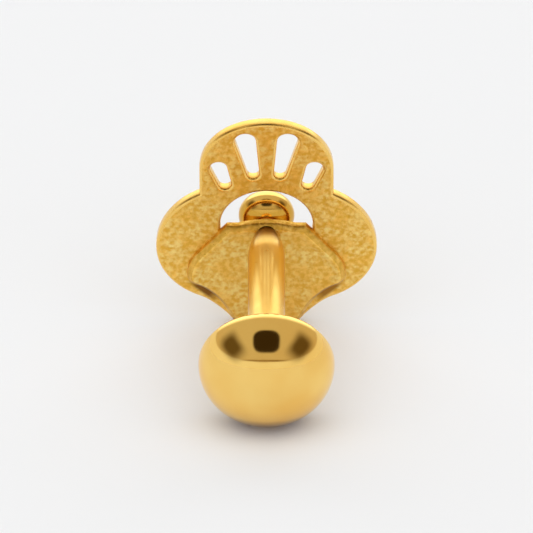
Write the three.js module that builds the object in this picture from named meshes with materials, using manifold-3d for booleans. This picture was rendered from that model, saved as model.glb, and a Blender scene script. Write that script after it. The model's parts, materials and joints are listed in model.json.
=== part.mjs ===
// A gold stud earring at rest: a polished domed head on a smooth post, and the pierced
// flower back that grips the post's end. Millimetres, +Z up, standing on the plane z = 0.
//
// Each piece is first drawn in the stud's own frame: the post lies along +Y with the head's
// flat back at y = 0 and the dome towards -Y, x runs across the flower and z up it. The
// stud is then leaned until the dome's rim and the tip of the flower's tail both touch down.
import * as THREE from "three";
import { mergeVertices } from "three/addons/utils/BufferGeometryUtils.js";
import Module from "manifold-3d";

const wasm = await Module();
wasm.setup();

// ---- Driving dimensions -------------------------------------------------------------
const ROUND_STEPS = 48;
const DOME_STEPS = 12;
const RIM_STEPS = 4;
const FILLET_STEPS = 3;
const OUTLINE_STEPS = 8;
const OPENING_STEPS = 20;
const SLOT_END_STEPS = 3;
const BEVEL_STEPS = 2;
const BEAD_STEPS_ROUND = 32;
const BEAD_STEPS_ALONG = 16;
const SMALLEST_STEP = 1e-4; // points closer than this count as one
const LEAN_HALVINGS = 40;

const head = { radius: 2.02, domeHeight: 1.7, rimRadius: 0.2 };
const lobeGap = 5.55; // clear length of post, from the head's flat back to the flower

const post = { radius: 0.55, filletRadius: 0.12, tipChamfer: 0.1, depthInBack: 0.7 };

const plate = { thickness: 0.35, edgeRound: 0.07 };
const topLobe = { halfWidth: 2, crownRadius: 2.2, shoulderRadius: 1.85, top: 4.3 };
const sideLobe = { reach: 3.31, height: -0.72, upperRadius: 2.45, lowerRadius: 2.2 };
const tail = {
  tip: -3.8,
  tipHalfWidth: 0.7,
  neckHalfWidth: 1.15,
  neckHeight: -3.5,
  neckTaper: 0.15,
  cornerHeight: -2.7,
  hollowReach: 0.38,
  hollowDrop: 0.14,
};
const opening = { radius: 1.38, height: 0.2 };

// Tapered slots of the top lobe, one row for each mirrored pair: the round outer and inner
// ends, each with its place across and up the plate and its radius.
const slotPairs = [
  { outerX: 0.63, outerZ: 3.58, outerRadius: 0.31, innerX: 0.4, innerZ: 2.27, innerRadius: 0.18 },
  { outerX: 1.43, outerZ: 2.5, outerRadius: 0.25, innerX: 1.24, innerZ: 1.86, innerRadius: 0.19 },
];

// The petal stands proud of the plate's ear side. Its side runs straight to `sideFoot`,
// then bends into the round corner that sits low on the side lobe.
const petal = {
  raised: 0.2,
  sunk: 0.06,
  bevel: 0.12,
  top: 0.29,
  topHalfWidth: 1.18,
  sideFoot: { x: 2.1, z: -0.88 },
  sideBend: { x: 2.38, z: -1.24 },
  corner: { x: 2, z: -1.75, radius: 0.38, turn: 70 },
  hollowBend: { x: 1.45, z: -2.4 },
  tailInset: 0.07,
};

// The bead that caps the post's end, and the flat-topped seat that joins it to the petal.
const bead = { radius: 0.85, halfThickness: 0.6, depth: 0.7 };
const seat = { radius: 0.95, depth: 0.4, top: 0.35 };
const bore = { clearance: 0.03, endGap: 0.1 };

const GOLD = new THREE.Color(0.93, 0.7, 0.32);

// ---- Solids -------------------------------------------------------------------------
function toManifold(geometry) {
  const bare = geometry.clone();
  bare.deleteAttribute("normal");
  bare.deleteAttribute("uv");
  const merged = mergeVertices(bare, SMALLEST_STEP / 10);
  const vertProperties = new Float32Array(merged.attributes.position.array);
  const corners = merged.index.array;
  const kept = [];
  for (let i = 0; i < corners.length; i += 3) {
    const [a, b, c] = corners.slice(i, i + 3);
    const isPinched = a === b || b === c || c === a; // where a turned profile meets its axis
    if (!isPinched) kept.push(a, b, c);
  }
  const triVerts = new Uint32Array(kept);
  return new wasm.Manifold(new wasm.Mesh({ numProp: 3, vertProperties, triVerts }));
}

function toGeometry(solid) {
  const mesh = solid.getMesh();
  const geometry = new THREE.BufferGeometry();
  geometry.setAttribute("position", new THREE.BufferAttribute(new Float32Array(mesh.vertProperties), 3));
  geometry.setIndex(new THREE.BufferAttribute(new Uint32Array(mesh.triVerts), 1));
  geometry.computeVertexNormals();
  return geometry;
}

// A round solid about the post's axis. The first flat of its many sides faces straight
// down, so that the round rim rests on a flat and not on an edge.
function turned(profile) {
  const halfStep = Math.PI / ROUND_STEPS;
  return new THREE.LatheGeometry(profile, ROUND_STEPS, halfStep);
}

function rod(radius, fromY, toY) {
  return turned([
    new THREE.Vector2(0, fromY),
    new THREE.Vector2(radius, fromY),
    new THREE.Vector2(radius, toY),
    new THREE.Vector2(0, toY),
  ]);
}

// A flat outline drawn in x and z, made solid from depth `front` to depth `rear` along y,
// with its front and rear edges eased by a rounded bevel.
function slab(outline, front, rear, bevel) {
  const geometry = new THREE.ExtrudeGeometry(outline, {
    depth: rear - front - 2 * bevel,
    bevelEnabled: true,
    bevelThickness: bevel,
    bevelSize: bevel,
    bevelOffset: -bevel,
    bevelSegments: BEVEL_STEPS,
  });
  geometry.rotateX(Math.PI / 2);
  geometry.translate(0, rear - bevel, 0);
  return geometry;
}

// ---- Head and post ------------------------------------------------------------------
function arc(centreX, centreY, radiusX, radiusY, startAngle, endAngle, steps) {
  const points = [];
  for (let i = 0; i <= steps; i += 1) {
    const angle = startAngle + ((endAngle - startAngle) * i) / steps;
    points.push(new THREE.Vector2(
      centreX + radiusX * Math.cos(angle),
      centreY + radiusY * Math.sin(angle),
    ));
  }
  return points;
}

function domePost() {
  const { radius, domeHeight, rimRadius } = head;
  const fillet = post.filletRadius;
  const tipY = lobeGap + post.depthInBack;
  const down = -Math.PI / 2;
  const dome = arc(0, -rimRadius, radius, domeHeight, down, 0, DOME_STEPS);
  const rim = arc(radius - rimRadius, -rimRadius, rimRadius, rimRadius, 0, -down, RIM_STEPS);
  const rootX = post.radius + fillet;
  const filletArc = arc(rootX, fillet, fillet, fillet, down, -Math.PI, FILLET_STEPS);
  dome[0].x = 0;
  return turned([
    ...dome,
    ...rim.slice(1),
    ...filletArc,
    new THREE.Vector2(post.radius, tipY - post.tipChamfer),
    new THREE.Vector2(post.radius - post.tipChamfer, tipY),
    new THREE.Vector2(0, tipY),
  ]);
}

// ---- Flower back --------------------------------------------------------------------
// Right half of the plate's outline, from the middle of the crown down to the tail's tip:
// a three-arc top lobe, a two-arc side lobe and a hollow curve into the blunt tail.
function traceRightHalf(outline) {
  const { halfWidth, crownRadius, shoulderRadius, top } = topLobe;
  const crownZ = top - crownRadius;
  const shoulderX = halfWidth - shoulderRadius;
  const shoulderZ = crownZ + Math.sqrt((crownRadius - shoulderRadius) ** 2 - shoulderX ** 2);
  const shoulderStart = Math.atan2(shoulderZ - crownZ, shoulderX);
  outline.absarc(0, crownZ, crownRadius, Math.PI / 2, shoulderStart, true);
  outline.absarc(shoulderX, shoulderZ, shoulderRadius, shoulderStart, 0, true);

  const { reach, height, upperRadius, lowerRadius } = sideLobe;
  const waistAngle = Math.acos((halfWidth - reach + upperRadius) / upperRadius);
  outline.absarc(reach - upperRadius, height, upperRadius, waistAngle, 0, true);

  const cornerAngle = Math.asin((tail.cornerHeight - height) / lowerRadius);
  const lowerX = reach - lowerRadius;
  outline.absarc(lowerX, height, lowerRadius, 0, cornerAngle, true);
  const hollowX = lowerX + lowerRadius * Math.cos(cornerAngle) - tail.hollowReach;
  const hollowZ = tail.cornerHeight - tail.hollowDrop;
  outline.quadraticCurveTo(hollowX, hollowZ, tail.neckHalfWidth, tail.neckHeight);
  traceTailEnd(outline, 0);
}

// The blunt end of the tail, `inset` within the plate's own outline.
function traceTailEnd(outline, inset) {
  const tipZ = tail.tip + inset;
  const bendX = tail.neckHalfWidth - tail.neckTaper - inset;
  outline.quadraticCurveTo(bendX, tipZ, tail.tipHalfWidth - inset, tipZ);
}

// The points of a closed path, without the doubles where its arcs and curves join.
function distinctPoints(path, divisions) {
  const points = path.getPoints(divisions);
  return points.filter((point, i) => {
    const next = points[(i + 1) % points.length];
    return point.distanceTo(next) > SMALLEST_STEP;
  });
}

// Both halves of a symmetrical outline from a function that traces its right half.
function mirroredShape(traceHalf, divisions) {
  const half = new THREE.Path();
  traceHalf(half);
  const right = distinctPoints(half, divisions).filter((point) => point.x > SMALLEST_STEP);
  const left = right.map((point) => new THREE.Vector2(-point.x, point.y)).reverse();
  return new THREE.Shape([...right, ...left]);
}

// A slot with a wide round outer end and a narrow round inner end, joined by the two
// straight lines that touch both.
function taperedSlot(row, side) {
  const outer = new THREE.Vector2(side * row.outerX, row.outerZ);
  const inner = new THREE.Vector2(side * row.innerX, row.innerZ);
  const along = outer.clone().sub(inner);
  const spread = Math.acos((row.innerRadius - row.outerRadius) / along.length());
  const right = along.angle() - spread;
  const left = along.angle() + spread;
  const slot = new THREE.Path();
  slot.absarc(outer.x, outer.y, row.outerRadius, right, left, false);
  slot.absarc(inner.x, inner.y, row.innerRadius, left, right + 2 * Math.PI, false);
  return new THREE.Path(distinctPoints(slot, SLOT_END_STEPS));
}

function piercedPlate() {
  const outline = mirroredShape(traceRightHalf, OUTLINE_STEPS);
  const middle = new THREE.Path();
  middle.absarc(0, opening.height, opening.radius, 0, 2 * Math.PI, false);
  outline.holes.push(new THREE.Path(distinctPoints(middle, OPENING_STEPS)));
  for (const row of slotPairs) {
    outline.holes.push(taperedSlot(row, 1), taperedSlot(row, -1));
  }
  return slab(outline, lobeGap, lobeGap + plate.thickness, plate.edgeRound);
}

// Right half of the raised petal: across the opening, out to a round corner on the side
// lobe, and back in along the tail.
function tracePetalHalf(outline) {
  const { sideFoot, sideBend, corner, hollowBend, tailInset } = petal;
  const neckX = tail.neckHalfWidth - tailInset;
  const cornerEnd = THREE.MathUtils.degToRad(-corner.turn);
  outline.moveTo(0, petal.top);
  outline.lineTo(petal.topHalfWidth, petal.top);
  outline.lineTo(sideFoot.x, sideFoot.z);
  outline.quadraticCurveTo(sideBend.x, sideBend.z, corner.x + corner.radius, corner.z);
  outline.absarc(corner.x, corner.z, corner.radius, 0, cornerEnd, true);
  outline.quadraticCurveTo(hollowBend.x, hollowBend.z, neckX, tail.neckHeight + tailInset);
  traceTailEnd(outline, tailInset);
}

function tailPetal() {
  const outline = mirroredShape(tracePetalHalf, OUTLINE_STEPS);
  return slab(outline, lobeGap - petal.raised, lobeGap + petal.sunk, petal.bevel);
}

function beadCap() {
  const ball = new THREE.SphereGeometry(bead.radius, BEAD_STEPS_ROUND, BEAD_STEPS_ALONG);
  ball.rotateX(Math.PI / 2);
  ball.scale(1, bead.halfThickness / bead.radius, 1);
  ball.translate(0, lobeGap + bead.depth, 0);
  return ball;
}

// A short round column from the petal's rear into the bead, cut flat above.
function flatToppedSeat() {
  const column = rod(seat.radius, lobeGap, lobeGap + seat.depth);
  const above = new THREE.BoxGeometry(4 * seat.radius, 4 * seat.depth, 2 * seat.radius);
  above.translate(0, lobeGap, seat.top + seat.radius);
  return toManifold(column).subtract(toManifold(above));
}

function flowerBack() {
  const boreEnd = lobeGap + post.depthInBack + bore.endGap;
  const blindBore = rod(post.radius + bore.clearance, 0, boreEnd);
  return toGeometry(
    toManifold(piercedPlate())
      .add(toManifold(tailPetal()))
      .add(toManifold(beadCap()))
      .add(flatToppedSeat())
      .subtract(toManifold(blindBore)),
  );
}

// ---- Leaning the stud ---------------------------------------------------------------
function lowestPoint(geometry, lean) {
  const position = geometry.attributes.position;
  let lowest = Infinity;
  for (let i = 0; i < position.count; i += 1) {
    const height = position.getY(i) * Math.sin(lean) + position.getZ(i) * Math.cos(lean);
    lowest = Math.min(lowest, height);
  }
  return lowest;
}

// The lean at which the head and the tail are equally low, found by halving.
function restingLean(headGeometry, backGeometry) {
  let low = 0;
  let high = Math.PI / 4;
  for (let i = 0; i < LEAN_HALVINGS; i += 1) {
    const middle = (low + high) / 2;
    const headIsHigher = lowestPoint(headGeometry, middle) > lowestPoint(backGeometry, middle);
    if (headIsHigher) {
      low = middle;
    } else {
      high = middle;
    }
  }
  return (low + high) / 2;
}

// ---- Assembly -----------------------------------------------------------------------
function goldMesh(name, geometry, roughness) {
  const material = new THREE.MeshStandardMaterial({ color: GOLD, roughness, metalness: 1 });
  const mesh = new THREE.Mesh(geometry, material);
  mesh.name = name;
  return mesh;
}

const domePostGeometry = domePost();
const flowerBackGeometry = flowerBack();
const stud = new THREE.Group();
stud.add(goldMesh("dome_post", domePostGeometry, 0.08));
stud.add(goldMesh("flower_back", flowerBackGeometry, 0.4));
stud.rotation.x = restingLean(domePostGeometry, flowerBackGeometry);
stud.updateMatrixWorld(true);

const bounds = new THREE.Box3().setFromObject(stud, true);
stud.position.set(0, -(bounds.min.y + bounds.max.y) / 2, -bounds.min.z);

const earring = new THREE.Group();
earring.add(stud);

export default earring;
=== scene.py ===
"""A gold stud earring at rest: a domed stud on a smooth post, and its pierced flower back.

Every piece is drawn in millimetres in the stud's own frame, where the post lies along +Y with
the head's flat back at y = 0, x runs across the flower and z up it. It is then set down into
the row frame, in metres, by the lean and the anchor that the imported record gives.
"""
import json
import logging
import math
from collections.abc import Iterator
from contextlib import contextmanager
from dataclasses import dataclass
from enum import Enum

import bpy
from mathutils import Matrix, Vector


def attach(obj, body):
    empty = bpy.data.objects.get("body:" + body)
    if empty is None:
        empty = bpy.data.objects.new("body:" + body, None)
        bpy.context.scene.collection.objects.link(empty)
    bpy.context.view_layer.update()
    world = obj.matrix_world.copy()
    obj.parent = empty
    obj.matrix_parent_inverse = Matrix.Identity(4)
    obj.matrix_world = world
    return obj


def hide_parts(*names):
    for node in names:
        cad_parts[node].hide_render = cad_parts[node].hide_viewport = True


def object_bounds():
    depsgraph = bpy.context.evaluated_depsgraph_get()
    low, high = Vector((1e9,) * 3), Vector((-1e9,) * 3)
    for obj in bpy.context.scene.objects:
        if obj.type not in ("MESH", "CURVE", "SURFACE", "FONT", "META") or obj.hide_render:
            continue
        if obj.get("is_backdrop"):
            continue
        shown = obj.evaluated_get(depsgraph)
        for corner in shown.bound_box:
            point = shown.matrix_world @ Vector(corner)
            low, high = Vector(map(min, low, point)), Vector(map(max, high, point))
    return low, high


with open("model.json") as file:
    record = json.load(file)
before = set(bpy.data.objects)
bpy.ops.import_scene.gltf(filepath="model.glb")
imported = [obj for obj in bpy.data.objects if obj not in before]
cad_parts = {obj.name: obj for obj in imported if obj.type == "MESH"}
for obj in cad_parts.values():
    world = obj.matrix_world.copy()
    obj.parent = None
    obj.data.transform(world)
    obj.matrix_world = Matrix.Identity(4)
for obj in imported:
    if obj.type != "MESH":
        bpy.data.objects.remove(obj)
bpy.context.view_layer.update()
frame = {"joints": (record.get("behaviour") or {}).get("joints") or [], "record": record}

log = logging.getLogger("earring")

Point = tuple[float, float]
Axis = tuple[float, float, float]
Colour = tuple[float, float, float]
Piece = bpy.types.Object
Socket = bpy.types.NodeSocket
Feed = Socket | float | tuple[float, ...] | Vector

MM = 0.001
MERGE_DISTANCE = 1e-4  # points drawn closer than this, in millimetres, become one
SEED_SIZE = 0.01  # the small square, in millimetres, that a stroke's first vertex comes from
DRILL_LENGTH = 4.0  # in millimetres, longer than anything that is bored
ROUND_STEPS = 144  # sides of a turned piece
HEAD_SIDES = 48  # sides of the solid head, inside whose flats the dome lies
SMOOTH_ANGLE = math.radians(35)

ACROSS: Axis = (1.0, 0.0, 0.0)
ALONG_POST: Axis = (0.0, 1.0, 0.0)
UP_FLOWER: Axis = (0.0, 0.0, 1.0)
UP = Vector((0.0, 0.0, 1.0))  # up in the row frame
UP_AT_REST: Axis = (0.0, 0.284, 0.959)  # the same way, in the leaning stud's frame


class Body(Enum):
    """The two rigid bodies of the earring."""

    STUD = "stud"
    BACK = "back"


class Node(Enum):
    """The solids that the visible pieces stand for."""

    DOME_POST = "dome_post"
    FLOWER_BACK = "flower_back"


class Slot(Enum):
    """The record's material slots."""

    POLISHED = "polished_gold"
    SATIN = "satin_gold"


class Sheet(Enum):
    """The plane a pen draws in."""

    FACE = "across and up the flower"
    PROFILE = "out from the post and along it"


class Easing(Enum):
    """How a level passes from one end of its range to the other."""

    EVEN = "LINEAR"
    SOFT = "SMOOTHSTEP"


# ---- Bench: the hand tools ----
def select_only(piece: Piece) -> None:
    """Selects one piece alone and makes it the active one.

    Args:
        piece: The mesh object to work on.
    """
    bpy.ops.object.select_all(action="DESELECT")
    piece.select_set(True)
    bpy.context.view_layer.objects.active = piece


@contextmanager
def editing(piece: Piece) -> Iterator[None]:
    """Puts one piece alone into edit mode, and takes it out again.

    Args:
        piece: The mesh object to work on.
    """
    select_only(piece)
    bpy.ops.object.mode_set(mode="EDIT")
    bpy.ops.mesh.select_mode(type="VERT")
    try:
        yield
    finally:
        bpy.ops.object.mode_set(mode="OBJECT")


def select_all() -> None:
    """Selects the whole mesh of the piece being edited."""
    bpy.ops.mesh.select_all(action="SELECT")


def press_along_post(share: float) -> None:
    """Presses the whole mesh being edited towards y = 0, to a share of its depth."""
    select_all()
    bpy.ops.transform.resize(value=(1.0, share, 1.0), center_override=(0.0, 0.0, 0.0))


def select_open_edges() -> None:
    """Selects the edges that only one face meets, in the piece being edited."""
    bpy.ops.mesh.select_mode(type="EDGE")
    bpy.ops.mesh.select_all(action="DESELECT")
    bpy.ops.mesh.select_non_manifold(
        extend=False, use_wire=False, use_boundary=True, use_multi_face=False,
        use_non_contiguous=False, use_verts=False,
    )


def apply_modifier(piece: Piece, kind: str, **settings: object) -> None:
    """Adds one modifier to a piece and applies it at once.

    Args:
        piece: The mesh object to change.
        kind: Blender's name for the modifier type.
        **settings: Values set on the modifier before it is applied.
    """
    select_only(piece)
    bpy.ops.object.modifier_add(type=kind)
    modifier = piece.modifiers[-1]
    for name, value in settings.items():
        setattr(modifier, name, value)
    bpy.ops.object.modifier_apply(modifier=modifier.name)


class Pen:
    """Draws chains of edges, each stroke going on from the vertex drawn last."""

    def __init__(self, name: str, sheet: Sheet) -> None:
        """Lays out an empty mesh object to draw in.

        Args:
            name: The name of the piece.
            sheet: The plane that the strokes lie in.
        """
        self.sheet = sheet
        self.tip = Vector((0.0, 0.0))
        bpy.ops.object.select_all(action="DESELECT")
        bpy.ops.mesh.primitive_plane_add(size=1.0, location=(0.0, 0.0, 0.0))
        self.piece = bpy.context.object
        self.piece.name = name
        self.piece.data.name = name
        with editing(self.piece):
            select_all()
            bpy.ops.mesh.delete(type="VERT")

    def in_space(self, point: Vector) -> Vector:
        """Returns the place in space of a point on the sheet."""
        across, along = point
        return Vector((across, 0.0, along) if self.sheet is Sheet.FACE else (across, along, 0.0))

    def start(self, point: Point) -> None:
        """Sets down one new vertex, from a small square drawn together at its middle.

        Args:
            point: Where the next stroke begins, on the sheet.
        """
        self.tip = Vector(point)
        bpy.ops.mesh.select_all(action="DESELECT")
        bpy.ops.mesh.primitive_plane_add(size=SEED_SIZE, location=self.in_space(self.tip))
        bpy.ops.mesh.merge(type="CENTER")

    def line(self, point: Point) -> None:
        """Draws one straight edge.

        Args:
            point: The end of the edge, on the sheet.
        """
        step = self.in_space(Vector(point)) - self.in_space(self.tip)
        bpy.ops.mesh.extrude_vertices_move(TRANSFORM_OT_translate={"value": step})
        self.tip = Vector(point)

    def arc(self, centre: Point, degrees: float, steps: int) -> None:
        """Swings the last vertex round a centre.

        Args:
            centre: The arc's centre, on the sheet.
            degrees: The turn, from the sheet's first axis towards its second if positive.
            steps: How many edges the arc has.
        """
        facing = (0.0, -1.0, 0.0) if self.sheet is Sheet.FACE else (0.0, 0.0, 1.0)
        turn = math.radians(degrees)
        middle = Vector(centre)
        bpy.ops.mesh.spin(steps=steps, angle=-turn, center=self.in_space(middle), axis=facing)
        self.tip = middle + Matrix.Rotation(turn, 2) @ (self.tip - middle)

    def bend(self, control: Point, end: Point, steps: int) -> None:
        """Draws a smooth bend that leaves towards a control point and arrives from it.

        Args:
            control: The point that draws the bend towards it, on the sheet.
            end: The bend's end, on the sheet.
            steps: How many edges the bend has.
        """
        first, middle, last = self.tip.copy(), Vector(control), Vector(end)
        for i in range(1, steps + 1):
            t = i / steps
            at = (1 - t) ** 2 * first + 2 * t * (1 - t) * middle + t**2 * last
            self.line((at.x, at.y))


def turn_on_lathe(profile: Piece) -> None:
    """Spins a drawn profile once round the post's axis and closes the seam and the poles.

    Args:
        profile: The piece that holds the profile, which becomes the round piece.
    """
    with editing(profile):
        select_all()
        bpy.ops.mesh.spin(
            steps=ROUND_STEPS, angle=math.tau, center=(0.0, 0.0, 0.0), axis=ALONG_POST
        )
        select_all()
        bpy.ops.mesh.remove_doubles(threshold=MERGE_DISTANCE)
        select_all()
        bpy.ops.mesh.normals_make_consistent(inside=False)


def bore_out(piece: Piece, radius: float) -> None:
    """Cuts a round hole along the post's axis through a piece drawn at y = 0.

    Args:
        piece: A piece in the stud's frame.
        radius: The hole's radius, in millimetres.
    """
    bpy.ops.object.select_all(action="DESELECT")
    bpy.ops.mesh.primitive_cylinder_add(
        vertices=ROUND_STEPS, radius=radius, depth=DRILL_LENGTH, rotation=(math.pi / 2, 0.0, 0.0)
    )
    drill = bpy.context.object
    apply_modifier(piece, "BOOLEAN", operation="DIFFERENCE", object=drill, solver="EXACT")
    bpy.data.objects.remove(drill)


def slide_along_post(piece: Piece, distance: float) -> None:
    """Moves a drawn piece along the post.

    Args:
        piece: A piece in the stud's frame.
        distance: How far it moves away from the head, in millimetres.
    """
    with editing(piece):
        select_all()
        bpy.ops.transform.translate(value=(0.0, distance, 0.0))


@dataclass(frozen=True)
class RimStep:
    """One inset of a rim: how far it goes in and how far it rises."""

    inward: float
    rise: float


def rounded_rim(radius: float, steps: int) -> list[RimStep]:
    """Works out the insets that make a quarter-round rim.

    Args:
        radius: The rim's radius, in millimetres.
        steps: How many insets make the quarter.

    Returns:
        The insets, from the outer wall to the flat face.
    """
    rim = []
    for i in range(steps):
        low, high = (math.radians(90 * j / steps) for j in (i, i + 1))
        inward = radius * (math.cos(low) - math.cos(high))
        rim.append(RimStep(inward, radius * (math.sin(high) - math.sin(low))))
    return rim


@dataclass(frozen=True)
class CutSheet:
    """A flat piece of metal cut to a drawn outline, with a rim worked up to its faces.

    The rim's insets run from the outer wall to the flat face. A face counts as flat where it
    looks along y more squarely than flat_facing, which is 1 for exactly.
    """

    thickness: float
    rim: list[RimStep]
    flat_facing: float

    GUARD = 0.02  # the width of a last flat inset, which keeps the face's shading flat

    def lay_face(self, outline: Piece, wall: float) -> None:
        """Fills the drawn loops, works the rim up to the face and pulls the wall back down.

        Args:
            outline: The piece that holds the loops for the right half. Its faces take
                material 0 on the flat and material 1 on the rim and the wall.
            wall: The straight part of the wall, whose far edge ends at y = 0.
        """
        apply_modifier(
            outline, "MIRROR", use_axis=(True, False, False), merge_threshold=MERGE_DISTANCE
        )
        with editing(outline):
            select_all()
            bpy.ops.mesh.remove_doubles(threshold=MERGE_DISTANCE)
            select_all()
            bpy.ops.mesh.fill(use_beauty=True)
        if outline.data.polygons[0].normal.y > 0:
            with editing(outline):
                select_all()
                bpy.ops.mesh.flip_normals()
        with editing(outline):
            select_all()
            bpy.ops.transform.translate(value=(0.0, -wall, 0.0))
            for step in [*self.rim, RimStep(self.GUARD, 0.0)]:
                bpy.ops.mesh.inset(thickness=step.inward, depth=step.rise, use_boundary=True)
            select_open_edges()
            bpy.ops.mesh.extrude_edges_move(TRANSFORM_OT_translate={"value": (0.0, wall, 0.0)})

    def cut_two_faced(self, outline: Piece) -> None:
        """Makes a solid whose two faces are alike, with its middle plane at y = 0.

        Args:
            outline: The piece that holds the loops for the right half.
        """
        self.lay_face(outline, self.thickness / 2 - sum(step.rise for step in self.rim))
        apply_modifier(
            outline, "MIRROR", use_axis=(False, True, False), merge_threshold=MERGE_DISTANCE
        )
        self.sort_materials(outline)

    def cut_flat_backed(self, outline: Piece) -> None:
        """Makes a solid with its worked rim in front only and its flat back at y = 0.

        Args:
            outline: The piece that holds the loops for the right half.
        """
        self.lay_face(outline, self.thickness - sum(step.rise for step in self.rim))
        with editing(outline):
            select_open_edges()
            bpy.ops.mesh.fill(use_beauty=True)
            select_all()
            bpy.ops.mesh.normals_make_consistent(inside=False)
        self.sort_materials(outline)

    def sort_materials(self, outline: Piece) -> None:
        """Gives the flats material 0, and the rims and walls material 1."""
        for face in outline.data.polygons:
            face.material_index = 0 if abs(face.normal.y) > self.flat_facing else 1


@dataclass(frozen=True)
class Rest:
    """How the stud lies in the row frame: leaned about x, with its frame's origin at a place."""

    lean: float
    origin: Vector

    HEAD_FACE_HEIGHT = 1.3  # how far the mount lies above the frame's origin, in millimetres

    @classmethod
    def from_record(cls, record: dict, joints: list[dict]) -> "Rest":
        """Reads the lean from the back's slide and the place from the head's flat face.

        Args:
            record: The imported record, whose mount head_back lies up the head's flat back.
            joints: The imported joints, the first of which runs along the post.

        Returns:
            The stud's lean and the place of its frame's origin.
        """
        _, along, up = joints[0]["axis"]
        lean = math.atan2(up, along)
        on_face = Vector(next(m["pos_m"] for m in record["mounts"] if m["name"] == "head_back"))
        raised = Vector((0.0, -math.sin(lean), math.cos(lean))) * cls.HEAD_FACE_HEIGHT * MM
        return cls(lean, on_face - raised)

    def turned(self, axis: Axis) -> Vector:
        """Returns a direction of the stud's frame as it lies at rest."""
        return Matrix.Rotation(self.lean, 3, "X") @ Vector(axis)

    def settle(self, piece: Piece) -> None:
        """Takes a piece from the stud's frame to its place at rest, held in its mesh.

        Args:
            piece: A piece drawn in millimetres, with its object at the origin.
        """
        select_only(piece)
        piece.scale = (MM, MM, MM)
        piece.rotation_euler = (self.lean, 0.0, 0.0)
        piece.location = self.origin
        bpy.ops.object.transform_apply(location=True, rotation=True, scale=True)


# ---- Finishes ----
class NodeTable:
    """A node tree and the place that its patterns are read at."""

    FIRST_COLOUR, SECOND_COLOUR, MIXED_COLOUR = 6, 7, 2  # a colour mix's inputs and its output

    def __init__(self, tree: bpy.types.NodeTree, coordinates: str) -> None:
        """Takes up a tree.

        Args:
            tree: The node tree.
            coordinates: The texture coordinates that give each point its place.
        """
        self.tree = tree
        self.place = self.add("TexCoord", {}).outputs[coordinates]

    def add(self, kind: str, feeds: dict[int | str, Feed], **options: str) -> bpy.types.Node:
        """Adds one node and feeds its inputs.

        Args:
            kind: Blender's name for the shader node, without its first word.
            feeds: What each input gets, a plain value or another node's output.
            **options: The node's own settings.

        Returns:
            The node.
        """
        node = self.tree.nodes.new("ShaderNode" + kind)
        for name, choice in options.items():
            setattr(node, name, choice)
        for name, value in feeds.items():
            if isinstance(value, Socket):
                self.tree.links.new(value, node.inputs[name])
            else:
                node.inputs[name].default_value = value
        return node

    def along(self, axis: Vector, origin: Vector | None = None) -> Socket:
        """Measures how far the place lies along an axis.

        Args:
            axis: A unit direction.
            origin: Where the measure starts, if not at the coordinates' own origin.

        Returns:
            The distance.
        """
        place = self.place
        if origin is not None:
            shift = self.add("VectorMath", {0: place, 1: origin}, operation="SUBTRACT")
            place = shift.outputs["Vector"]
        return self.add("VectorMath", {0: place, 1: axis}, operation="DOT_PRODUCT").outputs["Value"]

    def sum_up(self, operation: str, first: Socket, second: Feed = 0.0) -> Socket:
        """Adds one sum.

        Args:
            operation: Blender's name for it.
            first: The first value.
            second: The second value, if it takes one.

        Returns:
            The answer.
        """
        return self.add("Math", {0: first, 1: second}, operation=operation).outputs["Value"]

    def spread(
        self, value: Socket, read: Point, give: Point = (0.0, 1.0), easing: Easing = Easing.EVEN
    ) -> Socket:
        """Stretches a value from one range to another, and holds it at the ends.

        Args:
            value: The value read.
            read: The two ends of the range that is read.
            give: What is given at each of those ends.
            easing: How the level passes between them.

        Returns:
            The stretched value.
        """
        feeds = {
            "Value": value, "From Min": read[0], "From Max": read[1],
            "To Min": give[0], "To Max": give[1],
        }
        return self.add("MapRange", feeds, interpolation_type=easing.value).outputs["Result"]

    def between(self, share: Socket, first: Colour | Socket, second: Colour | Socket) -> Socket:
        """Mixes two colours.

        Args:
            share: 0 for the first colour and 1 for the second.
            first: A colour, or the colour of an earlier mix.
            second: A colour, or the colour of an earlier mix.

        Returns:
            The mixed colour.
        """
        feeds: dict[int | str, Feed] = {"Factor": share}
        for end, colour in ((self.FIRST_COLOUR, first), (self.SECOND_COLOUR, second)):
            feeds[end] = colour if isinstance(colour, Socket) else (*colour, 1.0)
        return self.add("Mix", feeds, data_type="RGBA").outputs[self.MIXED_COLOUR]


@dataclass(frozen=True)
class Fade:
    """How a painted shade comes on along a direction of the stud's frame, in millimetres."""

    axis: Axis
    begin: float
    full: float


@dataclass(frozen=True)
class PaintedShade:
    """A soft-edged patch of painted shade: a deeper tone where all of its fades have come on."""

    colour: Colour
    fades: tuple[Fade, ...]


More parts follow.
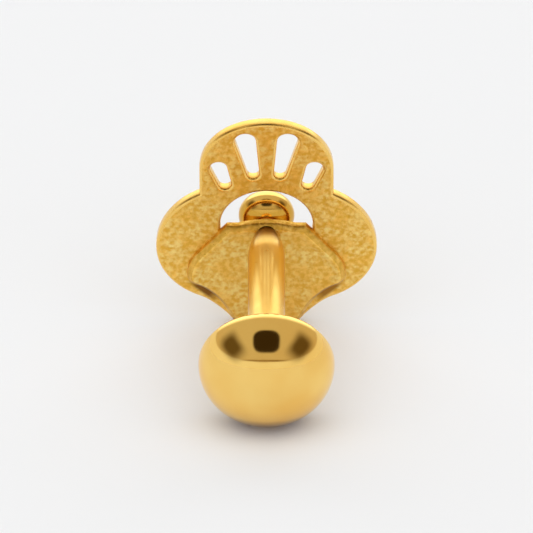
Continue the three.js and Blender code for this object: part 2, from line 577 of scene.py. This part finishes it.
class NodeBench(NodeTable):
    """The nodes of one metal, with the patterns read in the piece's own coordinates."""

    def __init__(self, name: str) -> None:
        """Starts a metal material.

        Args:
            name: The material's name.
        """
        self.material = bpy.data.materials.new(name)
        self.material.use_nodes = True
        super().__init__(self.material.node_tree, "Object")
        self.metal = self.tree.nodes["Principled BSDF"]
        self.metal.inputs["Metallic"].default_value = 1.0

    def noise(self, feature: float, detail: float, distortion: float = 0.0) -> Socket:
        """Adds a noise pattern.

        Args:
            feature: The size of its features, in millimetres.
            detail: How many octaves it has.
            distortion: How far its features are pulled about.

        Returns:
            The pattern's value.
        """
        feeds = {
            "Vector": self.place, "Scale": 1.0 / (feature * MM), "Detail": detail,
            "Distortion": distortion,
        }
        return self.add("TexNoise", feeds).outputs["Fac"]

    def relief(self, height: Socket, depth: float, under: Socket | None = None) -> Socket:
        """Adds fine relief.

        Args:
            height: The pattern of heights, from 0 to 1.
            depth: The height of 1, in millimetres.
            under: The normal of coarser relief that this one lies on.

        Returns:
            The normal.
        """
        feeds = {"Height": height, "Distance": depth * MM, "Strength": 1.0}
        if under is not None:
            feeds["Normal"] = under
        return self.add("Bump", feeds).outputs["Normal"]

    def with_painted_shade(self, colour: Socket, painted_shades: tuple[PaintedShade, ...], rest: Rest) -> Socket:
        """Lays painted shade over a colour.

        Args:
            colour: The plain colour.
            painted_shades: The patches of painted shade, in the stud's frame.
            rest: How the stud lies.

        Returns:
            The stained colour.
        """
        for shade_patch in painted_shades:
            share = None
            for fade in shade_patch.fades:
                reach = self.along(rest.turned(fade.axis), rest.origin)
                level = self.spread(reach, (fade.begin * MM, fade.full * MM))
                share = level if share is None else self.sum_up("MULTIPLY", share, level)
            colour = self.between(share, colour, shade_patch.colour)
        return colour

    def feed(self, value: Socket, socket: str) -> None:
        """Joins a pattern to one of the metal's sockets."""
        self.tree.links.new(value, self.metal.inputs[socket])


@dataclass(frozen=True)
class PolishedGold:
    """Buffed gold: nearly a mirror, with a faint haze and a soft wander in its tone."""

    name: str
    colour: Colour
    deep_colour: Colour
    roughness: float
    haze: float
    haze_size: float
    ripple_size: float
    ripple_depth: float
    # patches of painted shade laid over the colour
    painted_shades: tuple[PaintedShade, ...] = ()

    TONE_SCALE = 3  # the size of the tone's wander, in haze sizes
    TONE_CONTRAST = (0.35, 0.7)
    HAZE_CONTRAST = (0.3, 0.75)

    def material(self, rest: Rest) -> bpy.types.Material:
        """Makes the finish.

        Args:
            rest: How the stud lies, which places the painted shade.

        Returns:
            The material.
        """
        bench = NodeBench(self.name)
        wander = bench.noise(self.haze_size * self.TONE_SCALE, detail=2.0)
        tone = bench.spread(wander, self.TONE_CONTRAST)
        plain = bench.between(tone, self.colour, self.deep_colour)
        bench.feed(bench.with_painted_shade(plain, self.painted_shades, rest), "Base Color")
        haze = bench.noise(self.haze_size, detail=4.0, distortion=0.4)
        hazed = (self.roughness, self.roughness + self.haze)
        bench.feed(bench.spread(haze, self.HAZE_CONTRAST, hazed), "Roughness")
        ripple = bench.noise(self.ripple_size, detail=2.0)
        bench.feed(bench.relief(ripple, self.ripple_depth), "Normal")
        return bench.material


@dataclass(frozen=True)
class SatinGold:
    """Sandblasted gold: a fine grain and a mottle over a soft unevenness, with warmer patches."""

    name: str
    colour: Colour
    warm_colour: Colour
    dull_colour: Colour
    roughness: float
    roughness_spread: float = 0.1
    grain_size: float = 0.05
    grain_depth: float = 0.012
    mottle_size: float = 0.15
    mottle_depth: float = 0.024
    patch_size: float = 0.5
    # patches of painted shade laid over the colour
    painted_shades: tuple[PaintedShade, ...] = ()

    PATCH_CONTRAST = (0.4, 0.62)
    MOTTLE_CONTRAST = (0.38, 0.62)
    GRAIN_CONTRAST = (0.3, 0.7)

    def material(self, rest: Rest) -> bpy.types.Material:
        """Makes the finish.

        Args:
            rest: How the stud lies, which places the painted shade.

        Returns:
            The material.
        """
        bench = NodeBench(self.name)
        drift = bench.noise(self.patch_size, detail=3.0, distortion=0.6)
        patches = bench.spread(drift, self.PATCH_CONTRAST)
        toned = bench.between(patches, self.colour, self.warm_colour)
        mottle = bench.noise(self.mottle_size, detail=5.0)
        shade = bench.spread(mottle, self.MOTTLE_CONTRAST, (1.0, 0.0))
        dulled = bench.between(shade, toned, self.dull_colour)
        bench.feed(bench.with_painted_shade(dulled, self.painted_shades, rest), "Base Color")
        grain = bench.noise(self.grain_size, detail=3.0)
        rough = (self.roughness - self.roughness_spread, self.roughness + self.roughness_spread)
        bench.feed(bench.spread(grain, self.GRAIN_CONTRAST, rough), "Roughness")
        swell = bench.relief(mottle, self.mottle_depth)
        bench.feed(bench.relief(grain, self.grain_depth, swell), "Normal")
        return bench.material


def finish_piece(piece: Piece, rest: Rest, *finishes: PolishedGold | SatinGold) -> Piece:
    """Smooths a drawn piece, gives it its finishes and sets it down in its place.

    Args:
        piece: A piece in the stud's frame.
        rest: How the stud lies.
        *finishes: The piece's finishes, in the order of its faces' indices.

    Returns:
        The same piece.
    """
    for finish in finishes:
        piece.data.materials.append(finish.material(rest))
    select_only(piece)
    bpy.ops.object.shade_smooth_by_angle(angle=SMOOTH_ANGLE)
    rest.settle(piece)
    return piece


# ---- The domed stud ----
@dataclass(frozen=True)
class DomedStud:
    """The polished head and the post soldered to its flat back, turned as one round piece."""

    radius: float = 2.02 * math.cos(math.pi / HEAD_SIDES)
    dome_height: float = 1.697
    rim_radius: float = 0.2
    post_radius: float = 0.55
    fillet: float = 0.12
    length: float = 6.25
    nose_start: float = 4.35
    nose_radius: float = 2.45
    nose_turn: float = 22.5
    tip_radius: float = 0.32
    tip_ease: float = 0.1
    tip_run: float = 0.25
    tip_chamfer: float = 0.08
    solder_line: float = 0.03

    def draw_dome(self, pen: Pen) -> None:
        """Draws the dome's side as a quarter circle and presses it to the dome's height.

        Args:
            pen: The pen, on the profile's sheet.
        """
        pen.start((self.radius, 0.0))
        pen.arc((0.0, 0.0), -90, steps=48)
        press_along_post(self.dome_height / self.radius)
        bpy.ops.transform.translate(value=(0.0, -self.rim_radius, 0.0))

    def draw_back_and_post(self, pen: Pen) -> None:
        """Draws the rim, the flat back, the solder fillet and the post to its rounded nose.

        Args:
            pen: The pen, on the profile's sheet.
        """
        root, rim = self.post_radius + self.fillet, self.rim_radius
        pen.start((self.radius, -rim))
        pen.arc((self.radius - rim, -rim), 90, steps=10)
        pen.line((root, 0.0))
        pen.arc((root, self.fillet), -90, steps=8)
        pen.line((self.post_radius, self.nose_start))
        nose_centre = (self.post_radius - self.nose_radius, self.nose_start)
        pen.arc(nose_centre, self.nose_turn, steps=24)
        tip, nose_end = self.tip_radius, pen.tip.y
        pen.bend((tip, nose_end + self.tip_ease), (tip, nose_end + self.tip_run), steps=6)
        pen.line((tip, self.length - self.tip_chamfer))
        pen.line((tip - self.tip_chamfer, self.length))
        pen.line((0.0, self.length))

    def build(self, rest: Rest, gold: PolishedGold, wire: PolishedGold) -> Piece:
        """Turns the stud and dresses it.

        Args:
            rest: How the stud lies.
            gold: The head's finish.
            wire: The post's finish.

        Returns:
            The finished piece, riding on the stud's body.
        """
        pen = Pen("domed_stud", Sheet.PROFILE)
        with editing(pen.piece):
            self.draw_dome(pen)
            self.draw_back_and_post(pen)
        turn_on_lathe(pen.piece)
        for face in pen.piece.data.polygons:
            face.material_index = 1 if face.center.y > self.solder_line else 0
        piece = finish_piece(pen.piece, rest, gold, wire)
        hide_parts(Node.DOME_POST.value)
        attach(piece, Body.STUD.value)
        return piece


# ---- The flower back ----
@dataclass(frozen=True)
class Slit:
    """A tapered slot of the top lobe: its two round ends."""

    outer: Point
    outer_radius: float
    inner: Point
    inner_radius: float

    def draw(self, pen: Pen) -> None:
        """Draws the slot's closed loop: the wide end, a side, the narrow end and a side.

        Args:
            pen: The pen, on the flower's face.
        """
        outer, inner = Vector(self.outer), Vector(self.inner)
        along = outer - inner
        slant = math.atan2(along.y, along.x)
        spread = math.acos((self.inner_radius - self.outer_radius) / along.length)
        right, left = slant - spread, slant + spread
        wide_start = outer + self.outer_radius * Vector((math.cos(right), math.sin(right)))
        narrow_start = inner + self.inner_radius * Vector((math.cos(left), math.sin(left)))
        sweep = math.degrees(2 * spread)
        pen.start(tuple(wide_start))
        pen.arc(self.outer, sweep, steps=14)
        pen.line(tuple(narrow_start))
        pen.arc(self.inner, 360 - sweep, steps=10)
        pen.line(tuple(wide_start))


@dataclass(frozen=True)
class Tail:
    """The blunt tail that the plate and the petal share."""

    tip: float = -3.8
    tip_half_width: float = 0.7
    neck_half_width: float = 1.15
    neck_height: float = -3.5
    neck_taper: float = 0.15

    def draw_end(self, pen: Pen, inset: float) -> None:
        """Draws the right half of the blunt end, from the neck to the middle.

        Args:
            pen: The pen, at the neck.
            inset: How far inside the plate's own outline the end lies.
        """
        tip = self.tip + inset
        bend = self.neck_half_width - self.neck_taper - inset
        pen.bend((bend, tip), (self.tip_half_width - inset, tip), steps=10)
        pen.line((0.0, tip))


@dataclass(frozen=True)
class FlowerPlate:
    """The thin pierced plate: a top lobe with four slots, two side lobes and a tail."""

    front: float = 5.55
    thickness: float = 0.35
    rim_radius: float = 0.09
    flat_facing: float = 0.999
    top: float = 4.3
    top_half_width: float = 2.0
    crown_radius: float = 2.2
    shoulder_radius: float = 1.85
    lobe_reach: float = 3.31
    lobe_height: float = -0.72
    lobe_upper_radius: float = 2.45
    lobe_lower_radius: float = 2.2
    lobe_corner_height: float = -2.7
    hollow_reach: float = 0.38
    hollow_drop: float = 0.14
    opening_radius: float = 1.38
    opening_height: float = 0.2
    tail: Tail = Tail()
    slits: tuple[Slit, ...] = (
        Slit(outer=(0.63, 3.58), outer_radius=0.31, inner=(0.4, 2.27), inner_radius=0.18),
        Slit(outer=(1.43, 2.5), outer_radius=0.25, inner=(1.24, 1.86), inner_radius=0.19),
    )

    def draw_top_lobe(self, pen: Pen) -> None:
        """Draws the crown and the tighter shoulder that runs down to the waist.

        Args:
            pen: The pen, on the flower's face.
        """
        crown = self.top - self.crown_radius
        shoulder_x = self.top_half_width - self.shoulder_radius
        reach = self.crown_radius - self.shoulder_radius
        shoulder = crown + math.sqrt(reach**2 - shoulder_x**2)
        join = math.degrees(math.atan2(shoulder - crown, shoulder_x))
        pen.start((0.0, self.top))
        pen.arc((0.0, crown), join - 90, steps=18)
        pen.arc((shoulder_x, shoulder), -join, steps=24)

    def draw_side_lobe(self, pen: Pen) -> None:
        """Draws the side lobe from the waist round to its lower corner, and on to the tail.

        Args:
            pen: The pen, on the flower's face.
        """
        upper, lower = self.lobe_upper_radius, self.lobe_lower_radius
        upper_x, lower_x = self.lobe_reach - upper, self.lobe_reach - lower
        waist = math.acos((self.top_half_width - upper_x) / upper)
        pen.line((self.top_half_width, self.lobe_height + upper * math.sin(waist)))
        pen.arc((upper_x, self.lobe_height), -math.degrees(waist), steps=24)
        corner = math.asin((self.lobe_corner_height - self.lobe_height) / lower)
        pen.arc((lower_x, self.lobe_height), math.degrees(corner), steps=20)
        hollow_x = lower_x + lower * math.cos(corner) - self.hollow_reach
        hollow_z = self.lobe_corner_height - self.hollow_drop
        neck = (self.tail.neck_half_width, self.tail.neck_height)
        pen.bend((hollow_x, hollow_z), neck, steps=14)
        self.tail.draw_end(pen, 0.0)

    def draw_opening(self, pen: Pen) -> None:
        """Draws the right half of the round opening that the post comes through."""
        pen.start((0.0, self.opening_height + self.opening_radius))
        pen.arc((0.0, self.opening_height), -180, steps=48)

    def build(self, rest: Rest, face: SatinGold, rim: PolishedGold) -> Piece:
        """Cuts the plate and dresses it.

        Args:
            rest: How the stud lies.
            face: The finish of the flat faces.
            rim: The finish of the rims.

        Returns:
            The finished piece, riding on the back's body.
        """
        pen = Pen("flower_plate", Sheet.FACE)
        with editing(pen.piece):
            self.draw_top_lobe(pen)
            self.draw_side_lobe(pen)
            self.draw_opening(pen)
            for slit in self.slits:
                slit.draw(pen)
        worked_rim = rounded_rim(self.rim_radius, steps=5)
        CutSheet(self.thickness, worked_rim, self.flat_facing).cut_two_faced(pen.piece)
        slide_along_post(pen.piece, self.front + self.thickness / 2)
        piece = finish_piece(pen.piece, rest, face, rim)
        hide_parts(Node.FLOWER_BACK.value)
        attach(piece, Body.BACK.value)
        return piece


@dataclass(frozen=True)
class TailPetal:
    """The raised petal over the opening's lower half, sloped at its edges, bored for the post."""

    rear: float = 5.61
    thickness: float = 0.26
    slope_width: float = 0.18
    slope_rise: float = 0.15
    crest_width: float = 0.07
    dish_width: float = 0.1
    dish_depth: float = 0.04
    flat_facing: float = 0.87
    top: float = 0.29
    top_half_width: float = 1.18
    hump_top: float = 0.42
    hump_half_width: float = 0.86
    notch_radius: float = 0.355
    side_foot: Point = (2.1, -0.88)
    side_bend: Point = (2.38, -1.24)
    corner: Point = (2.0, -1.75)
    corner_radius: float = 0.38
    corner_turn: float = 70.0
    hollow_bend: Point = (1.45, -2.4)
    tail_inset: float = 0.07
    tail: Tail = Tail()

    # The slope's steps from the wall in, as shares of its width and of its rise.
    SLOPE_STEPS = (
        RimStep(inward=0.05, rise=0.16),
        RimStep(inward=0.15, rise=0.22),
        RimStep(inward=0.60, rise=0.54),
        RimStep(inward=0.20, rise=0.08),
    )

    def draw(self, pen: Pen) -> None:
        """Draws the right half: the top with its low hump, the side, the corner and the tail.

        Args:
            pen: The pen, on the flower's face.
        """
        inset, side_end = self.tail_inset, (self.corner[0] + self.corner_radius, self.corner[1])
        pen.start((0.0, self.hump_top))
        hump_bend = (self.hump_half_width / 2, self.hump_top)
        pen.bend(hump_bend, (self.hump_half_width, self.top), steps=10)
        pen.line((self.top_half_width, self.top))
        pen.line(self.side_foot)
        pen.bend(self.side_bend, side_end, steps=12)
        pen.arc(self.corner, -self.corner_turn, steps=14)
        neck = (self.tail.neck_half_width - inset, self.tail.neck_height + inset)
        pen.bend(self.hollow_bend, neck, steps=14)
        self.tail.draw_end(pen, inset)

    def edge(self) -> list[RimStep]:
        """Works out the insets of the slope, the crest along it and the fall to the dish.

        Returns:
            The insets, from the wall to the dished face.
        """
        width, rise = self.slope_width, self.slope_rise
        slope = [RimStep(part.inward * width, part.rise * rise) for part in self.SLOPE_STEPS]
        return [*slope, RimStep(self.crest_width, 0.0), RimStep(self.dish_width, -self.dish_depth)]

    def build(self, rest: Rest, face: SatinGold, edge: SatinGold) -> Piece:
        """Cuts the petal and dresses it.

        Args:
            rest: How the stud lies.
            face: The finish of the flats.
            edge: The finish of the slopes, a darker satin that paints shade on them.

        Returns:
            The finished piece, riding on the back's body.
        """
        pen = Pen("tail_petal", Sheet.FACE)
        with editing(pen.piece):
            self.draw(pen)
        CutSheet(self.thickness, self.edge(), self.flat_facing).cut_flat_backed(pen.piece)
        bore_out(pen.piece, self.notch_radius)
        slide_along_post(pen.piece, self.rear)
        piece = finish_piece(pen.piece, rest, face, edge)
        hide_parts(Node.FLOWER_BACK.value)
        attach(piece, Body.BACK.value)
        return piece


@dataclass(frozen=True)
class BeadCap:
    """The bead that caps the post's end, with the short neck that joins it to the petal."""

    centre: float = 6.25
    radius: float = 0.84
    half_thickness: float = 0.6
    bore_radius: float = 0.36
    bore_end: float = 6.35
    neck_front: float = 5.54
    neck_radius: float = 0.41

    def draw(self, pen: Pen) -> None:
        """Draws the bead's round side, pressed to its thickness, and then the bore and the neck.

        Args:
            pen: The pen, on the profile's sheet.
        """
        join = math.acos(self.neck_radius / self.radius)
        join_y = self.centre - self.half_thickness * math.sin(join)
        pen.start((self.neck_radius, -self.radius * math.sin(join)))
        pen.arc((0.0, 0.0), 90 + math.degrees(join), steps=48)
        press_along_post(self.half_thickness / self.radius)
        bpy.ops.transform.translate(value=(0.0, self.centre, 0.0))
        pen.start((0.0, self.bore_end))
        pen.line((self.bore_radius, self.bore_end))
        pen.line((self.bore_radius, self.neck_front))
        pen.line((self.neck_radius, self.neck_front))
        pen.line((self.neck_radius, join_y))

    def build(self, rest: Rest, gold: PolishedGold) -> Piece:
        """Turns the bead and its neck with their blind bore and dresses them.

        Args:
            rest: How the stud lies.
            gold: The bead's finish.

        Returns:
            The finished piece, riding on the back's body.
        """
        pen = Pen("bead_cap", Sheet.PROFILE)
        with editing(pen.piece):
            self.draw(pen)
        turn_on_lathe(pen.piece)
        piece = finish_piece(pen.piece, rest, gold)
        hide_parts(Node.FLOWER_BACK.value)
        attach(piece, Body.BACK.value)
        return piece


# ---- The studio ----
def heading(azimuth: float, elevation: float) -> Vector:
    """Works out a direction seen from the earring.

    Args:
        azimuth: Degrees round from the camera's side, -Y, towards +X.
        elevation: Degrees above the horizon.

    Returns:
        The unit direction.
    """
    a, e = math.radians(azimuth), math.radians(elevation)
    return Vector((math.sin(a) * math.cos(e), -math.cos(a) * math.cos(e), math.sin(e)))


@dataclass(frozen=True)
class TentPatch:
    """A patch of the tent's wall in its own colour, with a soft edge. Angles are in degrees."""

    azimuth: float
    elevation: float
    half_size: Point
    colour: Colour
    turn: float = 0.0
    softness: float = 0.5


class TentNodes(NodeTable):
    """The nodes of the world's light, whose places are the directions it comes from."""

    SQUARENESS = 3.0  # how square a patch's outline is, 2 for an ellipse
    AHEAD = (0.0, 0.1)  # where a patch comes on, so that it doesn't show again behind

    def eased(self, value: Socket, read: Point, give: Point = (0.0, 1.0)) -> Socket:
        """Returns a value stretched from one range to another, with soft ends."""
        return self.spread(value, read, give, Easing.SOFT)

    def matt_only(self) -> Socket:
        """Returns 1 for the light that falls on matt card, and 0 for what metal mirrors."""
        return self.add("LightPath", {}).outputs["Is Diffuse Ray"]

    def inside(self, patch: TentPatch) -> Socket:
        """Tells how far a direction lies inside a patch.

        Args:
            patch: The patch.

        Returns:
            The share, 1 well inside it and 0 outside it.
        """
        out = heading(patch.azimuth, patch.elevation)
        level = out.cross(UP).normalized()
        side = Matrix.Rotation(math.radians(patch.turn), 3, out) @ level
        parts = []
        for axis, half in zip((side, side.cross(out)), patch.half_size):
            share = self.sum_up("DIVIDE", self.along(axis), math.sin(math.radians(half)))
            parts.append(self.sum_up("POWER", self.sum_up("ABSOLUTE", share), self.SQUARENESS))
        distance = self.sum_up("POWER", self.sum_up("ADD", *parts), 1.0 / self.SQUARENESS)
        within = self.eased(distance, (1.0 - patch.softness, 1.0 + patch.softness), (1.0, 0.0))
        return self.sum_up("MULTIPLY", within, self.eased(self.along(out), self.AHEAD))

    def light_with(self, light: Socket) -> None:
        """Feeds the light to the world's background."""
        self.tree.links.new(light, self.tree.nodes["Background"].inputs["Color"])


@dataclass(frozen=True)
class Studio:
    """A plain pale floor under a bright tent that opens on a dim room in front.

    The metal mirrors the tent, the room, the sweep and the patches. The matt floor is lit by
    its own soft overhead light and its fill. Angles are in degrees and lengths in metres. The
    blurs and the overhead's range are measured along a unit direction.
    """

    floor_size: float = 1.2
    floor_colour: Colour = (0.885, 0.885, 0.88)
    floor_roughness: float = 0.8
    floor_gloss: float = 0.1
    fill_colour: Colour = (0.3, 0.3, 0.3)
    overhead_colour: Colour = (1.74, 1.75, 1.78)
    overhead_elevation: float = 48.0
    overhead_range: Point = (0.35, 0.95)
    room_colour: Colour = (0.64, 0.56, 0.43)
    sweep_colour: Colour = (0.92, 0.92, 0.91)
    sweep_top: float = 12.0
    sweep_blur: float = 0.02
    tent_colour: Colour = (1.75, 1.78, 1.84)
    tent_azimuth: float = 180.0
    tent_elevation: float = 20.0
    tent_reach: float = 46.0
    tent_blur: float = 0.07
    # The dark opening over the lens, a dim strip low down, and a dim wall on either side.
    patches: tuple[TentPatch, ...] = (
        TentPatch(0, 53, half_size=(21, 24), colour=(0.04, 0.025, 0.01), softness=0.1),
        TentPatch(0, 14.5, half_size=(33, 1.5), colour=(0.26, 0.17, 0.07)),
        TentPatch(70, 27, half_size=(26, 14), colour=(0.13, 0.09, 0.035), turn=14),
        TentPatch(-71, 27, half_size=(26, 14), colour=(0.13, 0.09, 0.035), turn=-14),
    )
    camera_azimuth: float = 0.0
    camera_elevation: float = 27.0
    camera_distance: float = 0.28
    camera_clip: Point = (0.01, 10.0)
    sensor_width: float = 36.0
    picture_height: float = 0.0158

    def lay_floor(self) -> None:
        """Lays the pale floor, with its top at z = 0."""
        bpy.ops.mesh.primitive_grid_add(x_subdivisions=4, y_subdivisions=4, size=self.floor_size)
        floor = bpy.context.object
        floor.name = "floor"
        material = bpy.data.materials.new("pale_card")
        material.use_nodes = True
        card = material.node_tree.nodes["Principled BSDF"]
        card.inputs["Base Color"].default_value = (*self.floor_colour, 1.0)
        card.inputs["Roughness"].default_value = self.floor_roughness
        card.inputs["Specular IOR Level"].default_value = self.floor_gloss
        floor.data.materials.append(material)
        floor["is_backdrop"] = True

    def hang_tent(self) -> None:
        """Hangs the world's light: what the metal mirrors, and what falls on the floor."""
        world = bpy.data.worlds.new("tent")
        bpy.context.scene.world = world
        world.use_nodes = True
        tent = TentNodes(world.node_tree, "Generated")
        edge, blur = math.cos(math.radians(self.tent_reach)), self.tent_blur
        behind = tent.along(heading(self.tent_azimuth, self.tent_elevation))
        under_tent = tent.eased(behind, (edge - blur, edge + blur))
        light = tent.between(under_tent, self.room_colour, self.tent_colour)
        rim, blur = math.sin(math.radians(self.sweep_top)), self.sweep_blur
        on_sweep = tent.eased(tent.along(UP), (rim - blur, rim + blur), (1.0, 0.0))
        light = tent.between(on_sweep, light, self.sweep_colour)
        for patch in self.patches:
            light = tent.between(tent.inside(patch), light, patch.colour)
        above = tent.along(heading(self.camera_azimuth, self.overhead_elevation))
        overhead = tent.eased(above, self.overhead_range)
        on_card = tent.between(overhead, self.fill_colour, self.overhead_colour)
        tent.light_with(tent.between(tent.matt_only(), light, on_card))

    def aim_camera(self) -> None:
        """Sets the long lens at its angle, with the earring in the middle of the picture."""
        low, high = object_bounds()
        back = heading(self.camera_azimuth, self.camera_elevation)
        bpy.ops.object.camera_add(
            location=(low + high) / 2 + back * self.camera_distance,
            rotation=back.to_track_quat("Z", "Y").to_euler(),
        )
        camera = bpy.context.object
        camera.data.sensor_width = self.sensor_width
        camera.data.lens = self.sensor_width * self.camera_distance / self.picture_height
        camera.data.clip_start, camera.data.clip_end = self.camera_clip
        bpy.context.scene.camera = camera


# ---- The whole earring ----
def corner_painted_shade(side: float, colour: Colour) -> PaintedShade:
    """Places painted shade below one of the petal's lower corners, on the plate's front only, where
    the petal shades the plate.

    Args:
        side: 1 for the corner towards +x and -1 for the other.
        colour: The painted shade's colour.

    Returns:
        The painted shade, a band in the stud's frame that slants down towards the tail.
    """
    inward, down = 0.715, 0.7
    slant, outward = (-inward * side, 0.0, -down), (down * side, 0.0, -inward)
    return PaintedShade(colour, (
        Fade(slant, begin=-0.3, full=0.1), Fade(slant, begin=1.0, full=0.6),
        Fade(outward, begin=2.78, full=2.88), Fade(outward, begin=3.22, full=3.12),
        Fade(ALONG_POST, begin=5.62, full=5.58),
    ))


def wire_side_painted_shade(side: float) -> PaintedShade:
    """Places painted shade along one side of the post, a deeper tone for the dark reflection down
    its flank.

    Args:
        side: 1 for the side towards +x and -1 for the other.

    Returns:
        The painted shade, which comes on away from the head.
    """
    sideways: Axis = (side, 0.0, 0.0)
    return PaintedShade((0.8, 0.46, 0.07), (
        Fade(sideways, begin=0.4, full=0.52), Fade(ALONG_POST, begin=0.8, full=2.2),
    ))


# Painted shade: a dark arc round the dome's foot, where it mirrors the shadowed floor, the bead's
# darker lower half, and the post's dark end next to the bead.
HEAD_FOOT_PAINTED_SHADE = PaintedShade((0.3, 0.14, 0.035), (
    Fade(UP_AT_REST, begin=-1.3, full=-1.78), Fade(UP_AT_REST, begin=-2.02, full=-1.93),
))
# painted shade on the bead's lower half
BEAD_LOW_PAINTED_SHADE = PaintedShade((0.66, 0.36, 0.05), (
    Fade(UP_FLOWER, begin=0.74, full=0.5), Fade(ALONG_POST, begin=6.3, full=6.15),
))
# painted shade on the post's end next to the bead
WIRE_END_PAINTED_SHADE = PaintedShade((0.33, 0.145, 0.007), (
    Fade(ALONG_POST, begin=4.45, full=4.9), Fade(ACROSS, begin=0.46, full=0.26),
    Fade((-1.0, 0.0, 0.0), begin=0.46, full=0.26),
))
# painted shade below the petal's lower corners, deeper below the corner towards -x
CORNER_PAINTED_SHADES = (corner_painted_shade(-1.0, (0.25, 0.11, 0.02)), corner_painted_shade(1.0, (0.4, 0.19, 0.03)))


@dataclass(frozen=True)
class Earring:
    """The stud and the flower back, with the finish of each piece."""

    stud: DomedStud = DomedStud()
    plate: FlowerPlate = FlowerPlate()
    petal: TailPetal = TailPetal()
    bead: BeadCap = BeadCap()
    mirror: PolishedGold = PolishedGold(
        name="mirror_gold", colour=(0.965, 0.66, 0.2), deep_colour=(0.91, 0.56, 0.14),
        roughness=0.06, haze=0.05, haze_size=0.5, ripple_size=0.9, ripple_depth=0.003,
        painted_shades=(HEAD_FOOT_PAINTED_SHADE,),
    )
    bead_gold: PolishedGold = PolishedGold(
        name="bead_gold", colour=(0.96, 0.65, 0.19), deep_colour=(0.9, 0.55, 0.13),
        roughness=0.1, haze=0.06, haze_size=0.4, ripple_size=0.5, ripple_depth=0.003,
        painted_shades=(BEAD_LOW_PAINTED_SHADE,),
    )
    wire: PolishedGold = PolishedGold(
        name="drawn_wire_gold", colour=(0.98, 0.69, 0.2), deep_colour=(0.95, 0.63, 0.16),
        roughness=0.27, haze=0.08, haze_size=0.3, ripple_size=0.3, ripple_depth=0.002,
        painted_shades=(WIRE_END_PAINTED_SHADE, wire_side_painted_shade(1.0), wire_side_painted_shade(-1.0)),
    )
    buffed: PolishedGold = PolishedGold(
        name="buffed_rim_gold", colour=(0.95, 0.63, 0.18), deep_colour=(0.89, 0.54, 0.12),
        roughness=0.2, haze=0.12, haze_size=0.3, ripple_size=0.3, ripple_depth=0.004,
    )
    satin: SatinGold = SatinGold(
        name="satin_gold_face", colour=(1.0, 0.76, 0.26), warm_colour=(1.0, 0.62, 0.13),
        dull_colour=(0.83, 0.47, 0.06), roughness=0.42, painted_shades=CORNER_PAINTED_SHADES,
    )
    petal_satin: SatinGold = SatinGold(
        name="satin_gold_petal", colour=(1.0, 0.78, 0.27), warm_colour=(1.0, 0.65, 0.15),
        dull_colour=(0.84, 0.49, 0.07), roughness=0.4,
    )
    # a darker copy of the satin: painted shade along the petal's sloped edges, with the corner
    # shade too
    shaded_edge_satin: SatinGold = SatinGold(
        name="satin_gold_edge_painted_shade", colour=(0.86, 0.55, 0.13), warm_colour=(0.8, 0.46, 0.08),
        dull_colour=(0.66, 0.37, 0.05), roughness=0.36, painted_shades=CORNER_PAINTED_SHADES,
    )

    def build(self, rest: Rest) -> list[Piece]:
        """Builds every piece in order.

        Args:
            rest: How the stud lies.

        Returns:
            The finished pieces.
        """
        return [
            self.stud.build(rest, self.mirror, self.wire),
            self.plate.build(rest, self.satin, self.buffed),
            self.petal.build(rest, self.petal_satin, self.shaded_edge_satin),
            self.bead.build(rest, self.bead_gold),
        ]


def main() -> None:
    """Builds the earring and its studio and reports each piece."""
    logging.basicConfig(level=logging.INFO, format="%(name)s: %(message)s")
    rest = Rest.from_record(frame["record"], frame["joints"])
    log.info("the stud leans %.2f degrees", math.degrees(rest.lean))
    for piece in Earring().build(rest):
        log.info("%s has %d faces", piece.name, len(piece.data.polygons))
    studio = Studio()
    studio.lay_floor()
    studio.hang_tent()
    studio.aim_camera()
    bpy.context.scene.view_settings.view_transform = "Standard"


if __name__ == "__main__":
    main()
